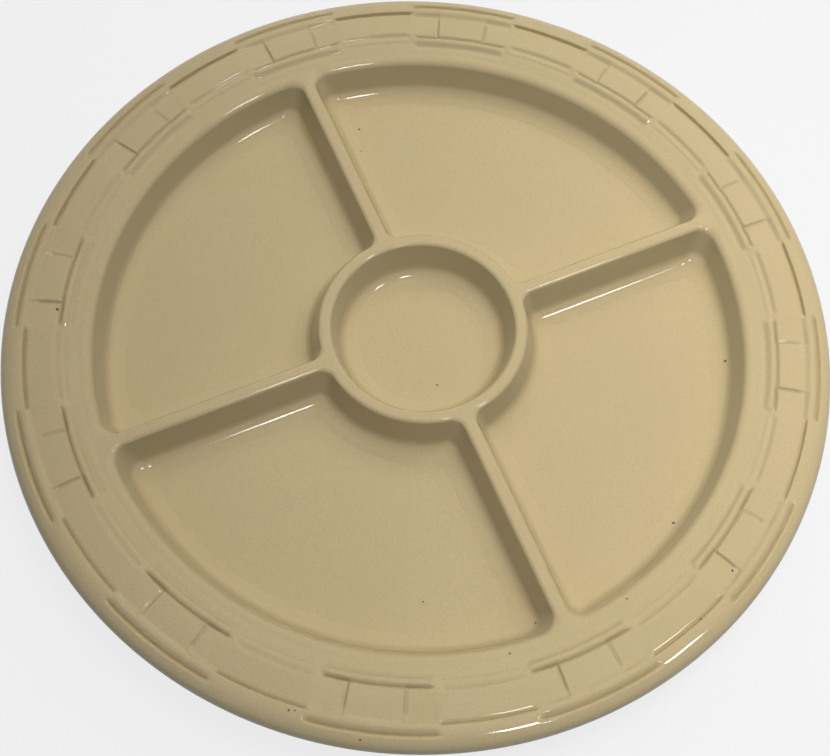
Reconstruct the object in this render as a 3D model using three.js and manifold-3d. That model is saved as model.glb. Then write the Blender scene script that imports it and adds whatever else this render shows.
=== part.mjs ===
import * as THREE from 'three';
import { mergeVertices } from 'three/addons/utils/BufferGeometryUtils.js';
import Module from 'manifold-3d';

// A round serving platter of glazed stoneware. Four compartments lie round a dip cup, and the walls
// between them stand level with a broad rim, which carries a basket-weave relief.
// Millimetres, +Z up. The origin is the middle of the foot's underside, and the dividers run along
// X and Y. An upright of the weave lies at the end of each divider.

// The well, its floor and its wall
const WELL_RADIUS = 138;
const WELL_DEPTH = 17.5;
const FLOOR_THICKNESS = 7;
const WALL_DRAFT = THREE.MathUtils.degToRad(5);
const EDGE_ROUND = 1.6;
const FLOOR_FILLET = 6.5;

// The dip cup and the dividers
const CUP_RADIUS = 40.5;
const CUP_WALL = 3.8;
const CUP_FILLET = 9;
const DIVIDER_THICKNESS = 4.6;
const CUP_CORNER = 5.5;
const RIM_CORNER = 6.5;

// The rim, outwards from the well's edge
const LEDGE_WIDTH = 5;
const WEAVE_MARGIN = 1.6;
const INNER_CHANNEL = 4.2;
const INNER_SPLINT = 0.7;
const GROOVE_WIDTH = 2;
const STRAND_WIDTH = 11.3;
const OUTER_SPLINT = 2;
const OUTER_CHANNEL = 1.8;
const EDGE_MARGIN = 0.4;
const EDGE_WIDTH = 6;
const RIM_RISE = 2.5;
const RIM_THICKNESS = 8;
const RELIEF_THICKNESS = 3;

// The weave's pattern
const UPRIGHT_COUNT = 12;
const UPRIGHT_WIDTH = 21.6;
const UPRIGHT_SEAM = 1.2;
const CROSSING_RUN = 13.5;
const CHANNEL_DEPTH = 1.1;
const GROOVE_DEPTH = 0.9;
const DIP_DEPTH = 0.9;

// The back and the foot
const BASE_INSET = 4;
const COVE_WIDTH = 19;
const FOOT_HEIGHT = 3;
const FOOT_WIDTH = 7;
const FOOT_INSET = 6;
const FOOT_ROUND = 1;

// Facets of the round stretches
const LATHE_STEPS = 96;
const FOOT_STEPS = 72;
const CUP_STEPS = 40;
const WELL_ARC_STEPS = 14;
const CUP_ARC_STEPS = 8;
const CORNER_STEPS = 4;
const ROUND_STEPS = 2;
const FILLET_STEPS = 3;
const COVE_STEPS = 2;
const EDGE_STEPS = 6;

// How far a cutter runs past what it cuts
const CUT_PAST = 2;

// Heights
const slabBottom = FOOT_HEIGHT;
const floorTop = slabBottom + FLOOR_THICKNESS;
const rimTop = floorTop + WELL_DEPTH;
const edgeTop = rimTop + RIM_RISE;
const edgeUnder = edgeTop - RIM_THICKNESS;

// Radii
const cupOuter = CUP_RADIUS + CUP_WALL;
const wallSeam = WELL_RADIUS + LEDGE_WIDTH;
const innerChannel = wallSeam + WEAVE_MARGIN + INNER_CHANNEL / 2;
const innerGroove = innerChannel + INNER_CHANNEL / 2 + INNER_SPLINT + GROOVE_WIDTH / 2;
const strandInner = innerGroove + GROOVE_WIDTH / 2;
const strandOuter = strandInner + STRAND_WIDTH;
const strandMiddle = (strandInner + strandOuter) / 2;
const outerGroove = strandOuter + GROOVE_WIDTH / 2;
const outerChannel = outerGroove + GROOVE_WIDTH / 2 + OUTER_SPLINT + OUTER_CHANNEL / 2;
const edgeSeam = outerChannel + OUTER_CHANNEL / 2 + EDGE_MARGIN;
const baseRadius = WELL_RADIUS - BASE_INSET;
const coveOuter = baseRadius + COVE_WIDTH;

// Beyond the ledge the rim rises outwards
function rimHeight(radius) {
  return rimTop + RIM_RISE * (radius - wallSeam) / (edgeSeam - wallSeam);
}

const rimUnder = rimHeight(coveOuter) - RIM_THICKNESS;

// Angles of the weave, from the middle of an upright
const halfPitch = Math.PI / UPRIGHT_COUNT;
const uprightHalf = UPRIGHT_WIDTH / 2 / strandMiddle;
const seamHalf = UPRIGHT_SEAM / 2 / strandMiddle;
const crossing = uprightHalf + CROSSING_RUN / strandMiddle;

const glaze = new THREE.MeshStandardMaterial({ color: 0xcbb88c, roughness: 0.22, metalness: 0 });
const bareClay = new THREE.MeshStandardMaterial({ color: 0xdccfb2, roughness: 0.85, metalness: 0 });

const wasm = await Module();
wasm.setup();

function geometryOf(positions, indices) {
  const geometry = new THREE.BufferGeometry();
  geometry.setAttribute('position', new THREE.Float32BufferAttribute(positions, 3));
  geometry.setIndex(indices);
  return geometry;
}

function solidOf(geometry) {
  return new wasm.Manifold(new wasm.Mesh({
    numProp: 3,
    vertProperties: new Float32Array(geometry.attributes.position.array),
    triVerts: new Uint32Array(geometry.index.array),
  }));
}

function geometryOfSolid(solid) {
  const mesh = solid.getMesh();
  return geometryOf(Array.from(mesh.vertProperties), Array.from(mesh.triVerts));
}

function arc(x, y, radiusX, radiusY, from, to, steps) {
  return new THREE.EllipseCurve(x, y, radiusX, radiusY, from, to, to < from).getPoints(steps);
}

// A ring whose section, listed counter-clockwise as radius and height, may change from angle to angle
function ringLoft(angles, sectionAt) {
  const positions = [];
  const indices = [];
  const sections = angles.map(sectionAt);
  const count = sections[0].length;
  angles.forEach((angle, i) => {
    for (const point of sections[i]) {
      positions.push(point.x * Math.cos(angle), point.x * Math.sin(angle), point.y);
    }
    const here = i * count;
    const next = ((i + 1) % angles.length) * count;
    for (let j = 0; j < count; j += 1) {
      const k = (j + 1) % count;
      indices.push(here + j, next + j, next + k);
      indices.push(here + j, next + k, here + k);
    }
  });
  return geometryOf(positions, indices);
}

// A solid lofted upwards through outlines with as many points each
function stackLoft(layers) {
  const positions = [];
  const indices = [];
  const count = layers[0].outline.length;
  layers.forEach(({ outline, z }, level) => {
    for (const point of outline) {
      positions.push(point.x, point.y, z);
    }
    const low = level * count;
    const high = low + count;
    for (let i = 0; level < layers.length - 1 && i < count; i += 1) {
      const j = (i + 1) % count;
      indices.push(low + i, low + j, high + j);
      indices.push(low + i, high + j, high + i);
    }
  });
  const last = (layers.length - 1) * count;
  for (const [a, b, c] of THREE.ShapeUtils.triangulateShape(layers[0].outline, [])) {
    indices.push(a, c, b);
  }
  for (const [a, b, c] of THREE.ShapeUtils.triangulateShape(layers[layers.length - 1].outline, [])) {
    indices.push(last + a, last + b, last + c);
  }
  return geometryOf(positions, indices);
}

function block(low, high) {
  const size = new THREE.Vector3().subVectors(high, low);
  const middle = new THREE.Vector3().addVectors(low, high).multiplyScalar(0.5);
  const box = new THREE.BoxGeometry(size.x, size.y, size.z);
  box.translate(middle.x, middle.y, middle.z);
  box.deleteAttribute('normal');
  box.deleteAttribute('uv');
  return solidOf(mergeVertices(box));
}

function revolve(points, steps) {
  const geometry = new THREE.LatheGeometry(points, steps);
  geometry.rotateX(Math.PI / 2);
  return geometry;
}

// The face of a compartment's wall, from its floor up to the rounded edge, as the inset from the
// edge's plan line and the height
function wallFace(wantedFillet) {
  const fillet = Math.min(wantedFillet, WELL_DEPTH - 2 * EDGE_ROUND);
  const lean = new THREE.Vector2(Math.cos(WALL_DRAFT), Math.sin(WALL_DRAFT));
  const edge = new THREE.Vector2(EDGE_ROUND * (lean.x - 1), rimTop - EDGE_ROUND * (1 - lean.y));
  const filletTop = floorTop + fillet * (1 - lean.y);
  const filletMiddle = edge.x + (edge.y - filletTop) * Math.tan(WALL_DRAFT) + fillet * lean.x;
  const low = arc(filletMiddle, floorTop + fillet, fillet, fillet, 1.5 * Math.PI, Math.PI + WALL_DRAFT,
    FILLET_STEPS);
  const high = arc(-EDGE_ROUND, rimTop - EDGE_ROUND, EDGE_ROUND, EDGE_ROUND, WALL_DRAFT, Math.PI / 2,
    ROUND_STEPS);
  return [...low, ...high];
}

// The face, carried on past the solid that it is cut from
function cutterFace(fillet) {
  const face = wallFace(fillet);
  const below = new THREE.Vector2(face[0].x, floorTop - CUT_PAST);
  const above = new THREE.Vector2(face[face.length - 1].x, rimTop + CUT_PAST);
  return [below, ...face, above];
}

// Where a divider's straight side runs into the round corners at the cup and at the rim
function cornerPlaces(inset) {
  const side = DIVIDER_THICKNESS / 2 + inset;
  const atCup = Math.sqrt((cupOuter + inset + CUP_CORNER) ** 2 - (side + CUP_CORNER) ** 2);
  const atRim = Math.sqrt((WELL_RADIUS - inset - RIM_CORNER) ** 2 - (side + RIM_CORNER) ** 2);
  return { side, atCup, atRim };
}

// A compartment's outline between the dividers along +X and +Y
function compartmentOutline(inset) {
  const { side, atCup, atRim } = cornerPlaces(inset);
  const cupLine = side + CUP_CORNER;
  const rimLine = side + RIM_CORNER;
  const cupAngle = Math.atan2(cupLine, atCup);
  const rimAngle = Math.atan2(rimLine, atRim);
  const quarter = Math.PI / 2;
  const rim = WELL_RADIUS - inset;
  const cup = cupOuter + inset;
  const rimCorner = (x, y, from, to) => arc(x, y, RIM_CORNER, RIM_CORNER, from, to, CORNER_STEPS);
  const cupCorner = (x, y, from, to) => arc(x, y, CUP_CORNER, CUP_CORNER, from, to, CORNER_STEPS);
  return [
    ...rimCorner(atRim, rimLine, -quarter, rimAngle),
    ...arc(0, 0, rim, rim, rimAngle, quarter - rimAngle, WELL_ARC_STEPS).slice(1),
    ...rimCorner(rimLine, atRim, quarter - rimAngle, 2 * quarter).slice(1),
    ...cupCorner(cupLine, atCup, 2 * quarter, 3 * quarter - cupAngle),
    ...arc(0, 0, cup, cup, quarter - cupAngle, cupAngle, CUP_ARC_STEPS).slice(1),
    ...cupCorner(atCup, cupLine, 2 * quarter + cupAngle, 3 * quarter).slice(1),
  ];
}

function quarterTurns(outline, turns) {
  let turned = outline;
  for (let i = 0; i < turns; i += 1) {
    turned = turned.map((point) => new THREE.Vector2(-point.y, point.x));
  }
  return turned;
}

function compartmentCutter(turns) {
  return solidOf(stackLoft(cutterFace(FLOOR_FILLET).map((point) => ({
    outline: quarterTurns(compartmentOutline(point.x), turns),
    z: point.y,
  }))));
}

// The back's cove, from the slab's bottom edge to the underside of the rim
function cove(from, to) {
  return arc(coveOuter, slabBottom, COVE_WIDTH, rimUnder - slabBottom, Math.PI - from, Math.PI - to,
    COVE_STEPS);
}

const coveAtFloor = Math.asin(FLOOR_THICKNESS / (rimUnder - slabBottom));
const coveAtSeam = Math.acos((coveOuter - wallSeam) / COVE_WIDTH);

// Angles round the rim, closer together where the weave changes
function weaveAngles() {
  const offsets = [
    0,
    uprightHalf - seamHalf,
    uprightHalf + seamHalf,
    (uprightHalf + crossing) / 2,
    crossing,
    (crossing + halfPitch) / 2,
    halfPitch,
  ];
  const mirrored = offsets.slice(1, -1).reverse().map((offset) => 2 * halfPitch - offset);
  const angles = [];
  for (let i = 0; i < UPRIGHT_COUNT; i += 1) {
    for (const offset of [...offsets, ...mirrored]) {
      angles.push(2 * i * halfPitch + offset);
    }
  }
  return angles;
}

function hollow(share) {
  return Math.max(0, 1 - share ** 2);
}

function reach(share) {
  return Math.max(0, 1 - share ** 4);
}

// How far the weave lies below the rim's surface. The uprights pass over the middle strand and under
// the splints beside it, and between two uprights the strand comes to the top.
function weaveDepth(radius, angle) {
  const turn = THREE.MathUtils.euclideanModulo(angle + halfPitch, 2 * halfPitch) - halfPitch;
  const away = Math.abs(turn);
  const atUpright = reach(away / crossing);
  const atStrand = reach((halfPitch - away) / (halfPitch - crossing));
  const cutAlong = (middle, width) => hollow((radius - middle) / (width / 2));
  const channel = cutAlong(innerChannel, INNER_CHANNEL);
  const rimChannel = cutAlong(outerChannel, OUTER_CHANNEL);
  const groove = Math.max(cutAlong(innerGroove, GROOVE_WIDTH), cutAlong(outerGroove, GROOVE_WIDTH));
  const onStrand = radius >= innerGroove && radius <= outerGroove;
  const besideUpright = away > uprightHalf && away < crossing;
  const dip = onStrand && besideUpright ? 1 - (away - uprightHalf) / (crossing - uprightHalf) : 0;
  return Math.max(
    CHANNEL_DEPTH * channel * atUpright,
    GROOVE_DEPTH * groove * Math.max(atUpright, atStrand),
    GROOVE_DEPTH * rimChannel * atUpright,
    DIP_DEPTH * dip,
  );
}

// Radii of the relief's rows, from the outer seam inwards
const weaveRows = [
  edgeSeam,
  outerChannel + OUTER_CHANNEL / 2,
  outerChannel,
  outerChannel - OUTER_CHANNEL / 2,
  outerGroove + GROOVE_WIDTH / 2,
  outerGroove,
  strandOuter,
  strandMiddle,
  strandInner,
  innerGroove,
  innerGroove - GROOVE_WIDTH / 2,
  innerChannel + INNER_CHANNEL / 2,
  innerChannel,
  innerChannel - INNER_CHANNEL / 2,
  wallSeam,
];

const rimAngles = weaveAngles();

function makeFloorSlab() {
  return revolve([
    new THREE.Vector2(0, slabBottom),
    ...cove(0, coveAtFloor),
    new THREE.Vector2(0, floorTop),
  ], LATHE_STEPS);
}

function makeFootRing() {
  const outer = baseRadius - FOOT_INSET;
  const inner = outer - FOOT_WIDTH;
  const profile = [
    new THREE.Vector2(inner, slabBottom),
    ...arc(inner + FOOT_ROUND, FOOT_ROUND, FOOT_ROUND, FOOT_ROUND, Math.PI, 1.5 * Math.PI, ROUND_STEPS),
    ...arc(outer - FOOT_ROUND, FOOT_ROUND, FOOT_ROUND, FOOT_ROUND, 1.5 * Math.PI, 2 * Math.PI, ROUND_STEPS),
    new THREE.Vector2(outer, slabBottom),
  ];
  return revolve([...profile, profile[0]], FOOT_STEPS);
}

// Wall, dividers and cup ring are one casting that the compartments and the cup are cut out of
function makeWalls() {
  const cupFace = cutterFace(CUP_FILLET);
  const core = (CUP_RADIUS - cupFace[0].x) / 2;
  const blank = solidOf(ringLoft(rimAngles, () => [
    new THREE.Vector2(core, floorTop),
    ...cove(coveAtFloor, coveAtSeam),
    new THREE.Vector2(wallSeam, rimTop),
    new THREE.Vector2(core, rimTop),
  ]));
  const cupAngles = Array.from({ length: CUP_STEPS }, (_, i) => i / CUP_STEPS * 2 * Math.PI);
  const cupCutter = solidOf(ringLoft(cupAngles, () => [
    new THREE.Vector2(core / 2, cupFace[0].y),
    ...cupFace.map((point) => new THREE.Vector2(CUP_RADIUS - point.x, point.y)),
    new THREE.Vector2(core / 2, cupFace[cupFace.length - 1].y),
  ]));
  let walls = blank.subtract(cupCutter);
  for (let turns = 0; turns < 4; turns += 1) {
    walls = walls.subtract(compartmentCutter(turns));
  }
  return walls;
}

// The dividers end where their sides start to flare into the cup ring and the wall
function splitWalls(walls) {
  const foot = wallFace(FLOOR_FILLET)[0].x;
  const flares = [cornerPlaces(0), cornerPlaces(foot)];
  const near = Math.ceil(Math.max(...flares.map((flare) => flare.atCup)));
  const far = Math.floor(Math.min(...flares.map((flare) => flare.atRim)));
  const half = Math.ceil(DIVIDER_THICKNESS / 2 + foot);
  const low = floorTop - CUT_PAST;
  const high = rimTop + CUT_PAST;
  const from = (x, y) => new THREE.Vector3(x, y, low);
  const to = (x, y) => new THREE.Vector3(x, y, high);
  const middle = block(from(-near, -near), to(near, near));
  const eastWest = block(from(-far, -half), to(far, half));
  const northSouth = block(from(-half, -far), to(half, far));
  return {
    cup_ring: walls.intersect(middle),
    divider_east: walls.intersect(block(from(near, -half), to(far, half))),
    divider_north: walls.intersect(block(from(-half, near), to(half, far))),
    divider_west: walls.intersect(block(from(-far, -half), to(-near, half))),
    divider_south: walls.intersect(block(from(-half, -far), to(half, -near))),
    well_wall: walls.subtract(eastWest).subtract(northSouth).subtract(middle),
  };
}

function makeRimFlange() {
  return ringLoft(rimAngles, () => [
    ...cove(coveAtSeam, Math.PI / 2),
    new THREE.Vector2(edgeSeam, edgeUnder),
    new THREE.Vector2(edgeSeam, edgeTop - RELIEF_THICKNESS),
    new THREE.Vector2(wallSeam, rimTop - RELIEF_THICKNESS),
  ]);
}

function makeWeaveBand() {
  return ringLoft(rimAngles, (angle) => [
    new THREE.Vector2(wallSeam, rimTop - RELIEF_THICKNESS),
    new THREE.Vector2(edgeSeam, edgeTop - RELIEF_THICKNESS),
    ...weaveRows.map((radius) => new THREE.Vector2(radius, rimHeight(radius) - weaveDepth(radius, angle))),
  ]);
}

function makeRimEdge() {
  const roll = arc(edgeSeam, edgeTop - RIM_THICKNESS / 2, EDGE_WIDTH, RIM_THICKNESS / 2, -Math.PI / 2,
    Math.PI / 2, EDGE_STEPS);
  return ringLoft(rimAngles, () => roll);
}

const platter = new THREE.Group();

function addPiece(name, geometry, material) {
  geometry.computeVertexNormals();
  const mesh = new THREE.Mesh(geometry, material);
  mesh.name = name;
  platter.add(mesh);
}

addPiece('floor_slab', makeFloorSlab(), glaze);
addPiece('foot_ring', makeFootRing(), bareClay);
for (const [name, solid] of Object.entries(splitWalls(makeWalls()))) {
  addPiece(name, geometryOfSolid(solid), glaze);
}
addPiece('rim_flange', makeRimFlange(), glaze);
addPiece('weave_band', makeWeaveBand(), glaze);
addPiece('rim_edge', makeRimEdge(), glaze);

export default platter;
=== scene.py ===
from math import acos, atan2, cos, hypot, pi, radians, sin, sqrt, tan

import bpy
from mathutils import Matrix, Vector


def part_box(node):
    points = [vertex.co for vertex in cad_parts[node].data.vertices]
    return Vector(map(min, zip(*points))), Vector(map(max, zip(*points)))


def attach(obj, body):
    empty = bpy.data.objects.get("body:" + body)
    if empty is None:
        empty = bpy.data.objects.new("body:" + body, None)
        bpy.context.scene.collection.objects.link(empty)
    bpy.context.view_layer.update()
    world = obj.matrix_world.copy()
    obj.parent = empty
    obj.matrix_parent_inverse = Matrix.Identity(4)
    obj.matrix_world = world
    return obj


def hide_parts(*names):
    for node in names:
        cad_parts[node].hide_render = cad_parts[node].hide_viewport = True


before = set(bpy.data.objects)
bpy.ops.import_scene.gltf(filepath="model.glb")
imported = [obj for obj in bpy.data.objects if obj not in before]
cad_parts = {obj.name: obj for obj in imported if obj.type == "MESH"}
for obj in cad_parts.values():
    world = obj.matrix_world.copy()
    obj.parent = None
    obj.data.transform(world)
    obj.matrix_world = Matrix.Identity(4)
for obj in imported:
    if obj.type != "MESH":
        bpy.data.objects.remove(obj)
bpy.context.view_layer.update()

MM = 0.001
QUARTER = pi / 2

# The well lies this much lower than that of the solids, so that the rim rises as it does in the photograph
WELL_DROP = 1.5 * MM

# The rolled edge stays this far inside the solids' box
EDGE_MARGIN = 0.005 * MM

# Places that the frame gives
edge_low, edge_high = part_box("rim_edge")
wall_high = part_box("well_wall")[1]
floor_low, floor_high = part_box("floor_slab")
band_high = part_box("weave_band")[1]
foot_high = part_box("foot_ring")[1]
OUTER_RADIUS = edge_high.x - EDGE_MARGIN
EDGE_TOP = edge_high.z
EDGE_UNDER = edge_low.z
EDGE_SEAM = band_high.x
LEDGE_SEAM = wall_high.x
RIM_TOP = wall_high.z - WELL_DROP
FLOOR_TOP = floor_high.z - WELL_DROP
BASE_UNDER = floor_low.z
FOOT_OUTER = foot_high.x

# The compartments, the dip cup and the walls between them
WELL_RADIUS = 137.8 * MM
WALL_DRAFT = radians(16)
LIP_ROUND = 4.2 * MM
CREST_ROUND = 2.1 * MM
FLOOR_FILLET = 7 * MM
APRON_WIDTH = 3 * MM
APRON_SLOPE = radians(10)
CUP_RADIUS = 39 * MM
CUP_OUTER = 44.9 * MM
DIVIDER_HALF = 3.1 * MM
CUP_CORNER = 5.5 * MM
RIM_CORNER = 6.5 * MM

# The back: a flat base, the cove round it and the foot
BASE_RADIUS = 134 * MM
COVE_OUTER = 153 * MM
COVE_TOP = EDGE_UNDER - (EDGE_TOP - wall_high.z) * (EDGE_SEAM - COVE_OUTER) / (EDGE_SEAM - LEDGE_SEAM)
COVE_SIZE = (COVE_OUTER - BASE_RADIUS, COVE_TOP - BASE_UNDER)
COVE_AT_SEAM = pi - acos((COVE_OUTER - LEDGE_SEAM) / COVE_SIZE[0])
FOOT_WIDTH = 7 * MM
FOOT_ROUND = 1.2 * MM

# A narrow flat beside each round keeps the shading of the flats next to it even
FLAT_STRIP = 0.2 * MM

# Points nearer than this become one, and faces that meet at less than this angle are shaded as one
WELD_DISTANCE = 0.002 * MM
SMOOTH_ANGLE = radians(50)

# Facets
CUP_STEPS = 128
BACK_STEPS = 240
EDGE_STEPS = 360
WELL_ARC_STEPS = 72
CUP_ARC_STEPS = 24
CORNER_STEPS = 10
FILLET_STEPS = 14
ROUND_STEPS = 10
COVE_STEPS = 12
ROLL_STEPS = 18

# The weave: twelve uprights, each of which crosses over the strand and under a splint on either side.
# Places along the rim are measured from the middle of an upright, at the middle of the strand
UPRIGHT_COUNT = 12
PITCH = 2 * pi / UPRIGHT_COUNT
STRAND_MIDDLE = 157 * MM
UPRIGHT_TOP_HALF = 10.2 * MM
UPRIGHT_SEAM = 11.3 * MM
SEAM_FAR_SIDE = 12.5 * MM
SEAM_DEPTH = 0.5
SEAM_START = (151.6 * MM, 152.8 * MM)
SEAM_STOP = (160.9 * MM, 162.1 * MM)

# Where the splints end and the strand comes up, first inside the strand and then outside it
SPLINT_ENDS = ((20.4 * MM, 23.2 * MM), (21.6 * MM, 24.4 * MM))
STRAND_STARTS = ((23.8 * MM, 27.2 * MM), (22.2 * MM, 24.8 * MM))
STRAND_RISES = (11 * MM, 25 * MM)

# Heights of the weave above the well's edge, in millimetres
UPRIGHT_LEVEL = 2.0
DIPPED_LEVEL = 1.45
RISEN_LEVEL = 2.0
SPLINT_LEVEL = 2.2
OUTER_SPLINT_LEVEL = 2.4
STRAND_LEVEL = 2.4
EDGE_LEVEL = 2.3

# Where the ledge begins to rise, its slope, and where a splint's section ends. Radii are in millimetres
LEDGE_START = 143.0
LEDGE_SLOPE = 0.19
RELIEF_END = 170.3

# The rolled edge: where its top begins to fall, the level of its widest place, its size and its seam
ROLL_START = 166.8 * MM
ROLL_LEVEL = 24.2 * MM
ROLL_WIDTH = OUTER_RADIUS - ROLL_START
ROLL_HEIGHT = RIM_TOP + WELL_DROP + EDGE_LEVEL * MM - ROLL_LEVEL
ROLL_SEAM = EDGE_SEAM + 1.6 * MM

# What lies above this height is the top of the rim, and what lies below it is the underside
TOP_SIDE = EDGE_UNDER + MM

# Columns of one repeat's half in degrees, and rows of the relief in radius: start, stop and count
COLUMN_STRETCHES = ((0, 3.6, 3), (3.6, 4.7, 14), (4.7, 7.2, 6), (7.2, 10.1, 12), (10.1, 15, 4))
ROW_STRETCHES = (
    (LEDGE_SEAM, 144.8 * MM, 4),
    (144.8 * MM, 150 * MM, 20),
    (150 * MM, 154.5 * MM, 18),
    (154.5 * MM, 161.6 * MM, 8),
    (161.6 * MM, ROLL_START, 18),
    (ROLL_START, ROLL_SEAM, 16),
)

# The upward part of a face's normal below which the glaze takes a darker, greener tone, and the span over
# which it does: partly thinner glaze, partly painted shade on steep walls
STEEP_START = 0.85
STEEP_SPAN = 0.6

# Where the glaze is darkened at a crossing and beside the strand, partly as glaze gathered in the grooves and
# partly as painted shade there: radius in millimetres, and how much
CROSSING_POOLS_AND_SHADE = ((146.6, 0.4), (151.5, 0.8), (163.2, 0.3), (168.9, 0.4))
STRAND_POOLS_AND_SHADE = ((148.5, 0.3), (151.6, 0.5), (164.8, 0.4))
POOL_AND_SHADE_REACH = 1
SEAM_POOL_AND_SHADE = 0.8

# The glaze's tones: ground, clouds in it, flecks, thinner on a wall with painted shade, gathered in a groove
# with painted shade, and inside a pinhole
GLAZE_GROUND = (0.588, 0.46, 0.236)
GLAZE_CLOUD = (0.57, 0.443, 0.224)
GLAZE_FLECK = (0.535, 0.415, 0.212)
GLAZE_THIN_AND_SHADE = (0.475, 0.4, 0.237)
GLAZE_POOL_AND_SHADE = (0.3, 0.255, 0.155)
PINHOLE_DARK = (0.05, 0.04, 0.025)

# The glaze's clouds, flecks, gloss and ripples: the size of each noise, and the part of it that shows
CLOUD_SIZE = 60 * MM
CLOUD_RANGE = (0.35, 0.65)
FLECK_SIZE = 0.9 * MM
FLECK_RANGE = (0.35, 0.7)
GLOSS_SIZE = 25 * MM
GLOSS_RANGE = (0.3, 0.7)
GLAZE_ROUGHNESS = (0.05, 0.09)
GLAZE_IOR = 1.52
POOL_AND_SHADE_STRENGTH = 0.35
RIPPLE_SIZE = 9 * MM
RIPPLE_HEIGHT = 0.04 * MM
RIPPLE_STRENGTH = 0.5

# Pinholes that the glaze has left open, as place and width in millimetres
PINHOLES = (
    (17, 114, 1.0),
    (13, 102, 0.6),
    (119, -60, 1.1),
    (63, -116, 1.2),
    (-8, -131, 0.7),
    (-45, -105, 0.8),
    (-2, -21, 0.9),
    (26, -139, 0.8),
    (-25, -140, 0.8),
    (69, -146, 1.0),
    (48, -158, 0.9),
    (-109, -127, 0.9),
    (-107, -128, 0.7),
    (-89, -147, 0.8),
    (-139, 64, 1.4),
)

# Shares of a pinhole's width, from its middle, at which it starts to fade and is gone
PINHOLE_FADE = (0.3, 0.6)

# Bare clay: its tones, its grain and the paler patches
CLAY_GROUND = (0.69, 0.60, 0.45)
CLAY_GRAIN = (0.55, 0.45, 0.30)
CLAY_PATCH = (0.62, 0.53, 0.39)
CLAY_SHARE = (0, 0.5)
CLAY_ROUGHNESS = 0.85
GRAIN_SIZE = 0.8 * MM
GRAIN_DETAIL = 4
GRAIN_CONTRAST = 0.65
GRAIN_RANGE = (0.4, 0.7)
GRAIN_HEIGHT = 0.1 * MM
GRAIN_STRENGTH = 0.6
PATCH_SIZE = 18 * MM
PATCH_RANGE = (0.5, 0.8)

# The stage: the floor's size, its grey, how far it shows as white, and the light from all round
FLOOR_SIZE = 6
FLOOR_GREY = (0.55, 0.55, 0.55)
FLOOR_WHITE = 0.8
ROUND_LIGHT = 0.14
WHITE = (1, 1, 1)

# The camera, from the photograph
CAMERA_TURN = radians(-31.3)
CAMERA_ELEVATION = radians(63.296)
CAMERA_ROLL = radians(7.976)
CAMERA_DISTANCE = 0.55668
CAMERA_SLIDE = (0.01583, 0.00201)
CAMERA_SHIFT = (-0.05516, -0.06963)
FOCAL_PIXELS = 1309.8
IMAGE_WIDTH = 830


# Lines

def arc(middle, radii, start, stop, steps):
    """Points along part of a circle or an ellipse."""
    points = []
    for i in range(steps + 1):
        angle = start + (stop - start) * i / steps
        points.append((middle[0] + radii[0] * cos(angle), middle[1] + radii[1] * sin(angle)))
    return points


def ease(share):
    """A share from 0 to 1 that starts and ends softly."""
    share = min(1, max(0, share))
    return share * share * (3 - 2 * share)


def fade(place, stretch):
    """How far a place has come through a stretch."""
    return ease((place - stretch[0]) / (stretch[1] - stretch[0]))


def spread(stretches):
    """Places along stretches, each divided into its count of steps."""
    places = [stretches[0][0]]
    for start, stop, count in stretches:
        places += [start + (stop - start) * (i + 1) / count for i in range(count)]
    return places


# Modelling by hand

def new_line(name, points):
    """A new piece in edit mode: one vertex, extruded from point to point of a section."""
    bpy.ops.object.select_all(action="DESELECT")
    bpy.ops.mesh.primitive_plane_add(size=MM)
    piece = bpy.context.object
    piece.name = name
    bpy.ops.object.mode_set(mode="EDIT")
    bpy.ops.mesh.select_mode(type="VERT")
    bpy.ops.mesh.merge(type="CENTER")
    here = Vector()
    for i, (radius, height) in enumerate(points):
        there = Vector((radius, 0, height))
        if i == 0:
            bpy.ops.transform.translate(value=there)
        else:
            bpy.ops.mesh.extrude_region_move(TRANSFORM_OT_translate={"value": there - here})
        here = there
    return piece


def spin(steps, angle=2 * pi, copies=False):
    bpy.ops.mesh.select_all(action="SELECT")
    bpy.ops.mesh.spin(steps=steps, angle=angle, dupli=copies, center=(0, 0, 0), axis=(0, 0, 1))


def weld():
    bpy.ops.mesh.select_all(action="SELECT")
    bpy.ops.mesh.remove_doubles(threshold=WELD_DISTANCE)
    bpy.ops.mesh.normals_make_consistent(inside=False)
    bpy.ops.object.mode_set(mode="OBJECT")


def select_only(*pieces):
    bpy.ops.object.select_all(action="DESELECT")
    for piece in pieces:
        piece.select_set(True)
    bpy.context.view_layer.objects.active = pieces[0]


def join(*pieces):
    select_only(*pieces)
    bpy.ops.object.join()
    return pieces[0]


def finish_piece(piece, material, nodes):
    """Gives a piece its shading and material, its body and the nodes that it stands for."""
    select_only(piece)
    bpy.ops.object.shade_smooth_by_angle(angle=SMOOTH_ANGLE)
    piece.data.materials.clear()
    piece.data.materials.append(material)
    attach(piece, "root")
    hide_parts(*nodes)


def store(piece, name, value_at):
    """Keeps a value for each vertex, which the glaze reads."""
    values = [value_at(vertex) for vertex in piece.data.vertices]
    kept = piece.data.attributes.new(name, "FLOAT", "POINT")
    kept.data.foreach_set("value", values)


def thin_glaze_and_shade(vertex):
    """Steep walls take a darker, greener tone: partly thinner glaze that runs off them, partly painted shade
    on the walls.
    """
    return ease((STEEP_START - vertex.normal.z) / STEEP_SPAN)


def no_pooling_and_shade(vertex):
    return 0.0


# The well

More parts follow.
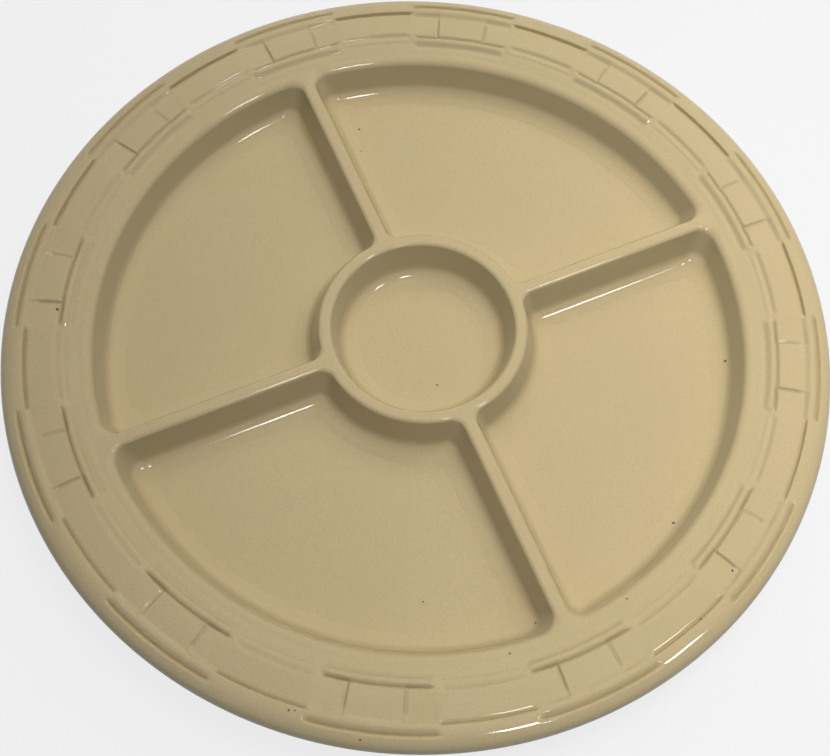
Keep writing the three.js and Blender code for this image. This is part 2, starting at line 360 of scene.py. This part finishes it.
def wall_face(rounding, crest_width=0, crest_slope=0):
    """A wall as inset and height: a strip of floor, the apron, the fillet, the wall, its rounded edge and
    a strip of crest. The crest of the lip is as wide as asked for and slopes up."""
    lean = (cos(WALL_DRAFT), sin(WALL_DRAFT))
    crest_angle = QUARTER - atan2(crest_slope, 1)
    crest_start = rounding * (cos(crest_angle) - 1)
    crest_stop = min(crest_start - FLAT_STRIP, -crest_width)
    crest_low = RIM_TOP - crest_slope * (crest_start - crest_stop)
    round_middle = crest_low - rounding * sin(crest_angle)
    edge = (rounding * (lean[0] - 1), round_middle + rounding * lean[1])
    apron_top = FLOOR_TOP + APRON_WIDTH * tan(APRON_SLOPE)
    fillet_middle = apron_top + FLOOR_FILLET * cos(APRON_SLOPE)
    fillet_top = fillet_middle - FLOOR_FILLET * lean[1]
    middle = edge[0] + (edge[1] - fillet_top) * tan(WALL_DRAFT) + FLOOR_FILLET * lean[0]
    fillet = (FLOOR_FILLET, FLOOR_FILLET)
    low = arc((middle, fillet_middle), fillet, 3 * QUARTER - APRON_SLOPE, pi + WALL_DRAFT, FILLET_STEPS)
    apron = low[0][0] + APRON_WIDTH
    rise = (apron - FLAT_STRIP, FLOOR_TOP + FLAT_STRIP * tan(APRON_SLOPE))
    floor = [(apron + FLAT_STRIP, FLOOR_TOP), (apron, FLOOR_TOP), rise]
    high = arc((-rounding, round_middle), (rounding, rounding), WALL_DRAFT, crest_angle, ROUND_STEPS)
    return floor + low + high + [(crest_stop, RIM_TOP)]


def compartment_outline(inset, lip_inset):
    """The outline between the dividers along +X and +Y, at an inset from each wall's edge."""
    side = DIVIDER_HALF + inset
    cup = CUP_OUTER + inset
    rim = WELL_RADIUS - lip_inset
    cup_line = side + CUP_CORNER
    rim_line = side + RIM_CORNER
    at_cup = sqrt((cup + CUP_CORNER) ** 2 - cup_line ** 2)
    at_rim = sqrt((rim - RIM_CORNER) ** 2 - rim_line ** 2)
    cup_angle = atan2(cup_line, at_cup)
    rim_angle = atan2(rim_line, at_rim)
    rim_round = (RIM_CORNER, RIM_CORNER)
    cup_round = (CUP_CORNER, CUP_CORNER)
    return (
        arc((at_rim, rim_line), rim_round, -QUARTER, rim_angle, CORNER_STEPS)
        + arc((0, 0), (rim, rim), rim_angle, QUARTER - rim_angle, WELL_ARC_STEPS)[1:]
        + arc((rim_line, at_rim), rim_round, QUARTER - rim_angle, pi, CORNER_STEPS)[1:]
        + arc((cup_line, at_cup), cup_round, pi, 3 * QUARTER - cup_angle, CORNER_STEPS)
        + arc((0, 0), (cup, cup), QUARTER - cup_angle, cup_angle, CUP_ARC_STEPS)[1:]
        + arc((at_cup, cup_line), cup_round, pi + cup_angle, 3 * QUARTER, CORNER_STEPS)[1:]
    )


def lip_shares():
    """How far each point of an outline belongs to the lip, whose edge is rounder than a divider's."""
    corner = [ease(i / CORNER_STEPS) for i in range(CORNER_STEPS + 1)]
    cup_points = CUP_ARC_STEPS + 2 * CORNER_STEPS + 1
    return corner + [1] * WELL_ARC_STEPS + corner[::-1][1:] + [0] * cup_points


def make_compartment():
    """A round is extruded upwards, and each of its levels is then drawn out to the compartment."""
    face = wall_face(CREST_ROUND)
    lip = wall_face(LIP_ROUND, LEDGE_SEAM - WELL_RADIUS - FLAT_STRIP / 2, LEDGE_SLOPE)
    outlines = [compartment_outline(low[0], high[0]) for low, high in zip(face, lip)]
    shares = lip_shares()
    count = len(outlines[0])
    lift = MM
    bpy.ops.object.select_all(action="DESELECT")
    bpy.ops.mesh.primitive_circle_add(vertices=count, radius=WELL_RADIUS)
    piece = bpy.context.object
    bpy.ops.object.mode_set(mode="EDIT")
    bpy.ops.mesh.select_all(action="SELECT")
    for level in face[1:]:
        bpy.ops.mesh.extrude_region_move(TRANSFORM_OT_translate={"value": (0, 0, lift)})
    bpy.ops.object.mode_set(mode="OBJECT")
    start = piece.data.vertices[0].co
    start_angle = atan2(start.y, start.x)
    for vertex in piece.data.vertices:
        level = round(vertex.co.z / lift)
        turn = atan2(vertex.co.y, vertex.co.x) - start_angle
        column = round(turn / (2 * pi) * count) % count
        height = face[level][1] + (lip[level][1] - face[level][1]) * shares[column]
        vertex.co = (*outlines[level][column], height)
        vertex.select = level == 0
    for edge in piece.data.edges:
        edge.select = all(piece.data.vertices[i].select for i in edge.vertices)
    bpy.ops.object.mode_set(mode="EDIT")
    bpy.ops.mesh.select_mode(type="EDGE")
    bpy.ops.mesh.fill()
    spin(3, 3 * QUARTER, copies=True)
    bpy.ops.object.mode_set(mode="OBJECT")
    return piece


def make_cup():
    face = wall_face(CREST_ROUND)
    cup = new_line("dip_cup", [(0, FLOOR_TOP)] + [(CUP_RADIUS - inset, height) for inset, height in face])
    spin(CUP_STEPS)
    bpy.ops.object.mode_set(mode="OBJECT")
    return cup


def cove(start, stop):
    """Part of the hollow curve under the rim."""
    return arc((COVE_OUTER, BASE_UNDER), COVE_SIZE, start, stop, COVE_STEPS)


def make_back():
    base = [(BASE_RADIUS - FLAT_STRIP, BASE_UNDER), (0, BASE_UNDER)]
    back = new_line("well_back", [(LEDGE_SEAM, RIM_TOP)] + cove(COVE_AT_SEAM, pi) + base)
    spin(BACK_STEPS)
    bpy.ops.object.mode_set(mode="OBJECT")
    return back


def make_well(glaze):
    well = join(make_back(), make_cup(), make_compartment())
    well.name = "compartment_well"
    bpy.ops.object.mode_set(mode="EDIT")
    bpy.ops.mesh.select_mode(type="EDGE")
    bpy.ops.mesh.select_all(action="SELECT")
    bpy.ops.mesh.remove_doubles(threshold=WELD_DISTANCE)
    bpy.ops.mesh.select_all(action="DESELECT")
    bpy.ops.mesh.select_non_manifold()
    bpy.ops.mesh.fill()
    weld()
    store(well, "pooling_and_shade", no_pooling_and_shade)
    store(well, "thin_and_shade", thin_glaze_and_shade)
    dividers = ("divider_east", "divider_north", "divider_west", "divider_south")
    finish_piece(well, glaze, ("floor_slab", "well_wall", "cup_ring", *dividers))


# The woven rim

def across(radius, line):
    """The height on a line from crest to valley. Each stop has its bend: 0 eases at both ends, a bend above 1
    leaves the last stop flat and meets this one steeply, and one below -1 goes the other way round."""
    start, low = line[0]
    for stop, high, bend in line[1:]:
        if radius < stop * MM:
            share = max(0, (radius / MM - start) / (stop - start))
            if bend > 0:
                share = share ** bend
            elif bend < 0:
                share = 1 - (1 - share) ** -bend
            else:
                share = ease(share)
            return low + (high - low) * share
        start, low = stop, high
    return low


def roll_drop(radius):
    """How far the top of the rolled edge has fallen at a radius, in millimetres."""
    share = max(0, radius - ROLL_START) / ROLL_WIDTH
    return ROLL_HEIGHT * (1 - sqrt(1 - share ** 2)) / MM


RELIEF_END_LEVEL = EDGE_LEVEL - roll_drop(RELIEF_END * MM)


def middle_level(along):
    """The upright in the middle of a crossing, and the strand that comes up beyond it."""
    strand = DIPPED_LEVEL + (RISEN_LEVEL - DIPPED_LEVEL) * fade(along, STRAND_RISES)
    return UPRIGHT_LEVEL + (strand - UPRIGHT_LEVEL) * fade(along, (UPRIGHT_TOP_HALF, UPRIGHT_SEAM))


def seam_share(radius, along):
    """How deep the seam at an upright's side is. It ends at the splints."""
    ends = fade(radius, SEAM_START) * (1 - fade(radius, SEAM_STOP))
    if along < UPRIGHT_SEAM:
        return ends * fade(along, (UPRIGHT_TOP_HALF, UPRIGHT_SEAM))
    return ends * (1 - fade(along, (UPRIGHT_SEAM, SEAM_FAR_SIDE)))


def ledge(radius):
    """The height of the ledge, which rises towards the weave, at a radius in millimetres."""
    return LEDGE_SLOPE * (radius - LEDGE_START)


def crossing_line(level):
    """A section across the rim at a crossing: ledge, splint, upright or dipped strand, splint and edge.
    Each stop has its radius, its height and its bend."""
    return (
        (LEDGE_START, 0),
        (145.0, ledge(145.0), 1),
        (146.6, ledge(146.6) - 0.35, 0),
        (149.1, SPLINT_LEVEL - 0.06, 0),
        (149.8, SPLINT_LEVEL, -2),
        (151.5, level - 1, 1.5),
        (152.4, level - 0.08, 0),
        (153.4, level, -2),
        (156.5, level, 1),
        (162.6, level - 0.7, 1.2),
        (163.2, level - 0.75, 0),
        (165.4, OUTER_SPLINT_LEVEL, 0),
        (166.1, OUTER_SPLINT_LEVEL, 0),
        (168.9, 0.65, 1.8),
        (169.7, RELIEF_END_LEVEL - 0.1, 0),
        (RELIEF_END, RELIEF_END_LEVEL, -2),
    )


# A section where the strand lies on top
STRAND_LINE = (
    (LEDGE_START, 0),
    (147.0, ledge(147.0), 1),
    (148.5, ledge(148.5) - 0.2, 0),
    (149.6, ledge(149.6) + 0.05, 0),
    (150.2, ledge(150.2), 1),
    (151.6, ledge(151.6) - 0.45, 0),
    (153.3, STRAND_LEVEL - 0.08, 0),
    (154.2, STRAND_LEVEL, -2),
    (162.5, STRAND_LEVEL - 0.75, 1.1),
    (164.8, 0.6, 2),
    (165.4, EDGE_LEVEL - 0.12, 0),
    (166.4, EDGE_LEVEL, -2),
)

# A section between a splint's end and the strand
BETWEEN_LINE = (
    (LEDGE_START, 0),
    (147.0, ledge(147.0), 1),
    (153.5, STRAND_LEVEL - 0.2, 0),
    (162.0, STRAND_LEVEL - 0.5, 1),
    (166.4, EDGE_LEVEL, 0),
)


def rim_rise(radius):
    """The whole rim rises from the well's edge to the rolled edge."""
    share = (radius - LEDGE_SEAM) / (ROLL_START - LEDGE_SEAM)
    return WELL_DROP / MM * min(1, max(0, share))


def rolled(radius, line):
    """A section that runs out over the top of the rolled edge."""
    return across(radius, line) - roll_drop(radius)


def weave_shares(radius, along):
    """How far a splint is still there, and how far the strand has come up."""
    outer = radius > STRAND_MIDDLE
    return 1 - fade(along, SPLINT_ENDS[outer]), fade(along, STRAND_STARTS[outer])


def woven_height(radius, along):
    """The height of the weave above the well's edge. A splint ends a little before the strand comes up."""
    between = rolled(radius, BETWEEN_LINE)
    crossing = across(radius, crossing_line(middle_level(along))) - SEAM_DEPTH * seam_share(radius, along)
    if radius > RELIEF_END * MM:
        crossing = EDGE_LEVEL - roll_drop(radius)
    strand = rolled(radius, STRAND_LINE)
    splint_share, strand_share = weave_shares(radius, along)
    weave = between + (crossing - between) * splint_share + (strand - between) * strand_share
    return weave + rim_rise(radius)


def pooled_and_shaded(radius, along):
    """How much the glaze is darkened at the foot of a step or in a groove: glaze that has run together there,
    and painted shade.
    """
    pool_and_shade = SEAM_POOL_AND_SHADE * seam_share(radius, along)
    for pools, share in zip((CROSSING_POOLS_AND_SHADE, STRAND_POOLS_AND_SHADE), weave_shares(radius, along)):
        for place, amount in pools:
            pool_and_shade += share * amount * (1 - ease(abs(radius / MM - place) / POOL_AND_SHADE_REACH))
    return min(1.0, pool_and_shade)


def along_rim(place):
    """How far a place is from the middle of the nearest upright."""
    turn = atan2(place.y, place.x) % PITCH
    return min(turn, PITCH - turn) * STRAND_MIDDLE


def make_band(glaze):
    """One repeat is spun, its points are set to the weave's columns and heights, and it is copied round."""
    half = spread(COLUMN_STRETCHES)
    whole = 360 / UPRIGHT_COUNT
    stops = [radians(stop) for stop in half + [whole - stop for stop in reversed(half[:-1])]]
    step = PITCH / (len(stops) - 1)
    top = [(radius, RIM_TOP) for radius in spread(ROW_STRETCHES)]
    under = [(ROLL_SEAM, EDGE_UNDER)] + cove(QUARTER, COVE_AT_SEAM)
    line = top + under
    band = new_line("woven_band", line + [line[0]])
    spin(len(stops) - 1, PITCH)
    bpy.ops.object.mode_set(mode="OBJECT")
    for vertex in band.data.vertices:
        x, y, height = vertex.co
        radius = hypot(x, y)
        turn = stops[round(abs(atan2(y, x)) / step)]
        if height > TOP_SIDE:
            height += woven_height(radius, abs(min(turn, PITCH - turn)) * STRAND_MIDDLE) * MM
        vertex.co = (radius * cos(turn), radius * sin(turn), height)
    bpy.ops.object.mode_set(mode="EDIT")
    spin(UPRIGHT_COUNT - 1, 2 * pi - PITCH, copies=True)
    weld()

    # Darker tone in the weave's grooves: painted shade, with glaze gathered there
    def pooling_and_shade(vertex):
        place = vertex.co
        if place.z < TOP_SIDE:
            return 0.0
        return pooled_and_shaded(hypot(place.x, place.y), along_rim(place))

    store(band, "pooling_and_shade", pooling_and_shade)
    store(band, "thin_and_shade", thin_glaze_and_shade)
    finish_piece(band, glaze, ("rim_flange", "weave_band"))


def make_edge(glaze):
    begin = acos((ROLL_SEAM - ROLL_START) / ROLL_WIDTH)
    upper = arc((ROLL_START, ROLL_LEVEL), (ROLL_WIDTH, ROLL_HEIGHT), begin, 0, ROLL_STEPS)
    low_size = (OUTER_RADIUS - ROLL_SEAM, ROLL_LEVEL - EDGE_UNDER)
    lower = arc((ROLL_SEAM, ROLL_LEVEL), low_size, 0, -QUARTER, ROUND_STEPS)
    line = upper + lower[1:]
    edge = new_line("rolled_edge", line + [line[0]])
    spin(EDGE_STEPS)
    weld()
    store(edge, "pooling_and_shade", no_pooling_and_shade)
    store(edge, "thin_and_shade", thin_glaze_and_shade)
    finish_piece(edge, glaze, ("rim_edge",))


# The foot

def make_foot(clay):
    inner = FOOT_OUTER - FOOT_WIDTH
    rounding = (FOOT_ROUND, FOOT_ROUND)
    line = (
        [(inner, BASE_UNDER)]
        + arc((inner + FOOT_ROUND, FOOT_ROUND), rounding, pi, 3 * QUARTER, ROUND_STEPS)
        + arc((FOOT_OUTER - FOOT_ROUND, FOOT_ROUND), rounding, -QUARTER, 0, ROUND_STEPS)
        + [(FOOT_OUTER, BASE_UNDER)]
    )
    foot = new_line("foot_ring_bare", line + [line[0]])
    spin(BACK_STEPS)
    weld()
    finish_piece(foot, clay, ("foot_ring",))


# Finishes

def new_material(name):
    material = bpy.data.materials.new(name)
    material.use_nodes = True
    nodes = material.node_tree.nodes
    nodes.clear()
    shader = nodes.new("ShaderNodeBsdfPrincipled")
    output = nodes.new("ShaderNodeOutputMaterial")
    material.node_tree.links.new(shader.outputs["BSDF"], output.inputs["Surface"])
    return material, shader


def noise(tree, place, size, detail=2.0, roughness=0.5):
    node = tree.nodes.new("ShaderNodeTexNoise")
    node.inputs["Scale"].default_value = 1 / size
    node.inputs["Detail"].default_value = detail
    node.inputs["Roughness"].default_value = roughness
    tree.links.new(place.outputs["Object"], node.inputs["Vector"])
    return node.outputs["Fac"]


def stored(tree, name):
    node = tree.nodes.new("ShaderNodeAttribute")
    node.attribute_name = name
    return node.outputs["Fac"]


def maths(tree, operation, first, second):
    """Works on two values, of which the second may be a plain number."""
    node = tree.nodes.new("ShaderNodeMath")
    node.operation = operation
    tree.links.new(first, node.inputs[0])
    if isinstance(second, float):
        node.inputs[1].default_value = second
    else:
        tree.links.new(second, node.inputs[1])
    return node.outputs["Value"]


def remap(tree, value, span, result=(0, 1)):
    """Spreads a span of a value over the result, and keeps to the result beyond the span."""
    node = tree.nodes.new("ShaderNodeMapRange")
    node.inputs["From Min"].default_value, node.inputs["From Max"].default_value = span
    node.inputs["To Min"].default_value, node.inputs["To Max"].default_value = result
    tree.links.new(value, node.inputs["Value"])
    return node.outputs["Result"]


def tint(tree, colour, share, other):
    """Mixes another colour over one by a share from 0 to 1."""
    node = tree.nodes.new("ShaderNodeMix")
    node.data_type = "RGBA"
    tree.links.new(share, node.inputs["Factor"])
    ground, layer = [socket for socket in node.inputs if socket.type == "RGBA"]
    layer.default_value = (*other, 1)
    if isinstance(colour, tuple):
        ground.default_value = (*colour, 1)
    else:
        tree.links.new(colour, ground)
    return [socket for socket in node.outputs if socket.type == "RGBA"][0]


def bump(tree, shader, height, distance, strength):
    node = tree.nodes.new("ShaderNodeBump")
    node.inputs["Strength"].default_value = strength
    node.inputs["Distance"].default_value = distance
    tree.links.new(height, node.inputs["Height"])
    tree.links.new(node.outputs["Normal"], shader.inputs["Normal"])


def pinholes(tree, place):
    """1 in each pinhole of the glaze and 0 beside it."""
    holes = None
    plan = tree.nodes.new("ShaderNodeVectorMath")
    plan.operation = "MULTIPLY"
    plan.inputs[1].default_value = (1, 1, 0)
    tree.links.new(place.outputs["Object"], plan.inputs[0])
    for x, y, size in PINHOLES:
        away = tree.nodes.new("ShaderNodeVectorMath")
        away.operation = "DISTANCE"
        away.inputs[1].default_value = (x * MM, y * MM, 0)
        tree.links.new(plan.outputs["Vector"], away.inputs[0])
        fading = [share * size * MM for share in PINHOLE_FADE]
        hole = remap(tree, away.outputs["Value"], fading, (1, 0))
        holes = maths(tree, "MAXIMUM", holes, hole) if holes else hole
    return holes


def make_glaze():
    material, shader = new_material("khaki_glaze")
    tree = material.node_tree
    place = tree.nodes.new("ShaderNodeTexCoord")
    cloud = remap(tree, noise(tree, place, CLOUD_SIZE), CLOUD_RANGE)
    fleck = remap(tree, noise(tree, place, FLECK_SIZE), FLECK_RANGE)
    pool_and_shade = remap(tree, stored(tree, "pooling_and_shade"), (0, 1), (0, POOL_AND_SHADE_STRENGTH))
    gloss = remap(tree, noise(tree, place, GLOSS_SIZE), GLOSS_RANGE, GLAZE_ROUGHNESS)
    colour = tint(tree, GLAZE_GROUND, cloud, GLAZE_CLOUD)
    colour = tint(tree, colour, fleck, GLAZE_FLECK)
    # Painted shade: steep faces take a darker, greener tone, partly for thinner glaze
    colour = tint(tree, colour, stored(tree, "thin_and_shade"), GLAZE_THIN_AND_SHADE)
    # Painted shade: grooves, steps and seams take a darker tone, partly for glaze gathered there
    colour = tint(tree, colour, pool_and_shade, GLAZE_POOL_AND_SHADE)
    colour = tint(tree, colour, pinholes(tree, place), PINHOLE_DARK)
    tree.links.new(colour, shader.inputs["Base Color"])
    tree.links.new(gloss, shader.inputs["Roughness"])
    shader.inputs["IOR"].default_value = GLAZE_IOR
    bump(tree, shader, noise(tree, place, RIPPLE_SIZE), RIPPLE_HEIGHT, RIPPLE_STRENGTH)
    return material


def make_clay():
    material, shader = new_material("bare_clay")
    tree = material.node_tree
    place = tree.nodes.new("ShaderNodeTexCoord")
    grain = noise(tree, place, GRAIN_SIZE, GRAIN_DETAIL, GRAIN_CONTRAST)
    grains = remap(tree, grain, GRAIN_RANGE, CLAY_SHARE)
    patches = remap(tree, noise(tree, place, PATCH_SIZE), PATCH_RANGE, CLAY_SHARE)
    colour = tint(tree, CLAY_GROUND, grains, CLAY_GRAIN)
    colour = tint(tree, colour, patches, CLAY_PATCH)
    tree.links.new(colour, shader.inputs["Base Color"])
    shader.inputs["Roughness"].default_value = CLAY_ROUGHNESS
    bump(tree, shader, grain, GRAIN_HEIGHT, GRAIN_STRENGTH)
    return material


# The stage

def seen_directly(tree):
    """1 for camera, glossy and transmission rays, and 0 for the others."""
    path = tree.nodes.new("ShaderNodeLightPath")
    seen = maths(tree, "MAXIMUM", path.outputs["Is Camera Ray"], path.outputs["Is Glossy Ray"])
    return maths(tree, "MAXIMUM", seen, path.outputs["Is Transmission Ray"])


def make_floor():
    """A matte floor that shows as nearly white, and still keeps the platter's shadow."""
    bpy.ops.object.select_all(action="DESELECT")
    bpy.ops.mesh.primitive_plane_add(size=FLOOR_SIZE)
    floor = bpy.context.object
    floor.name = "studio_floor"
    material = bpy.data.materials.new("studio_white")
    material.use_nodes = True
    tree = material.node_tree
    tree.nodes.clear()
    matte = tree.nodes.new("ShaderNodeBsdfDiffuse")
    matte.inputs["Color"].default_value = (*FLOOR_GREY, 1)
    white = tree.nodes.new("ShaderNodeEmission")
    shown = tree.nodes.new("ShaderNodeMixShader")
    output = tree.nodes.new("ShaderNodeOutputMaterial")
    tree.links.new(maths(tree, "MULTIPLY", seen_directly(tree), FLOOR_WHITE), shown.inputs["Fac"])
    tree.links.new(matte.outputs["BSDF"], shown.inputs[1])
    tree.links.new(white.outputs["Emission"], shown.inputs[2])
    tree.links.new(shown.outputs["Shader"], output.inputs["Surface"])
    floor.data.materials.append(material)


def make_world():
    world = bpy.data.worlds.new("studio")
    world.use_nodes = True
    tree = world.node_tree
    background = tree.nodes["Background"]
    strength = remap(tree, seen_directly(tree), (0, 1), (ROUND_LIGHT, 1))
    tree.links.new(strength, background.inputs["Strength"])
    background.inputs["Color"].default_value = (*WHITE, 1)
    bpy.context.scene.world = world


def make_lamp(name, turn, elevation, distance, size, power, aim=(0, 0)):
    """An area lamp that looks at the platter. Its turn in degrees and the place that it aims at are measured
    from the camera's right hand."""
    lamp = bpy.data.lights.new(name, "AREA")
    lamp.shape = "RECTANGLE"
    lamp.size, lamp.size_y = size
    lamp.energy = power
    holder = bpy.data.objects.new(name, lamp)
    bpy.context.scene.collection.objects.link(holder)
    angle = radians(turn) + CAMERA_TURN
    up = radians(elevation)
    away = Vector((cos(up) * cos(angle), cos(up) * sin(angle), sin(up)))
    spot = Matrix.Rotation(CAMERA_TURN, 3, "Z") @ Vector((*aim, 0))
    holder.location = away * distance
    holder.rotation_euler = (holder.location - spot).to_track_quat("Z", "Y").to_euler()
    return holder


def make_camera():
    camera = bpy.data.cameras.new("camera")
    camera.lens = FOCAL_PIXELS / IMAGE_WIDTH * camera.sensor_width
    camera.shift_x, camera.shift_y = CAMERA_SHIFT
    holder = bpy.data.objects.new("camera", camera)
    bpy.context.scene.collection.objects.link(holder)
    holder.matrix_world = (
        Matrix.Translation((0, 0, RIM_TOP))
        @ Matrix.Rotation(CAMERA_TURN, 4, "Z")
        @ Matrix.Rotation(QUARTER - CAMERA_ELEVATION, 4, "X")
        @ Matrix.Rotation(CAMERA_ROLL, 4, "Z")
        @ Matrix.Translation((*CAMERA_SLIDE, CAMERA_DISTANCE))
    )
    bpy.context.scene.camera = holder


# The platter on its stage

make_camera()
glaze = make_glaze()
make_well(glaze)
make_band(glaze)
make_edge(glaze)
make_foot(make_clay())
make_floor()
make_world()

# A soft key and a far window light the platter, and two strips only glint in the glaze
key = make_lamp(
    "soft_key", turn=0, elevation=80, distance=0.9, size=(0.4, 0.3), power=1.13, aim=(0.24, 0.015)
)
key.data.spread = radians(76)
key.data.color = (0.99, 1, 1.02)
key.visible_glossy = False
window = make_lamp(
    "far_window", turn=75, elevation=50, distance=1.0, size=(1.2, 0.35), power=3.5, aim=(0.12, 0)
)
window.visible_glossy = False
near_strip = make_lamp("near_strip", turn=306, elevation=60, distance=1.3, size=(0.15, 0.12), power=1.9)
near_strip.visible_diffuse = False
right_strip = make_lamp("right_strip", turn=342, elevation=55, distance=1.3, size=(0.13, 0.12), power=1.5)
right_strip.visible_diffuse = False
bpy.context.scene.view_settings.view_transform = "Standard"
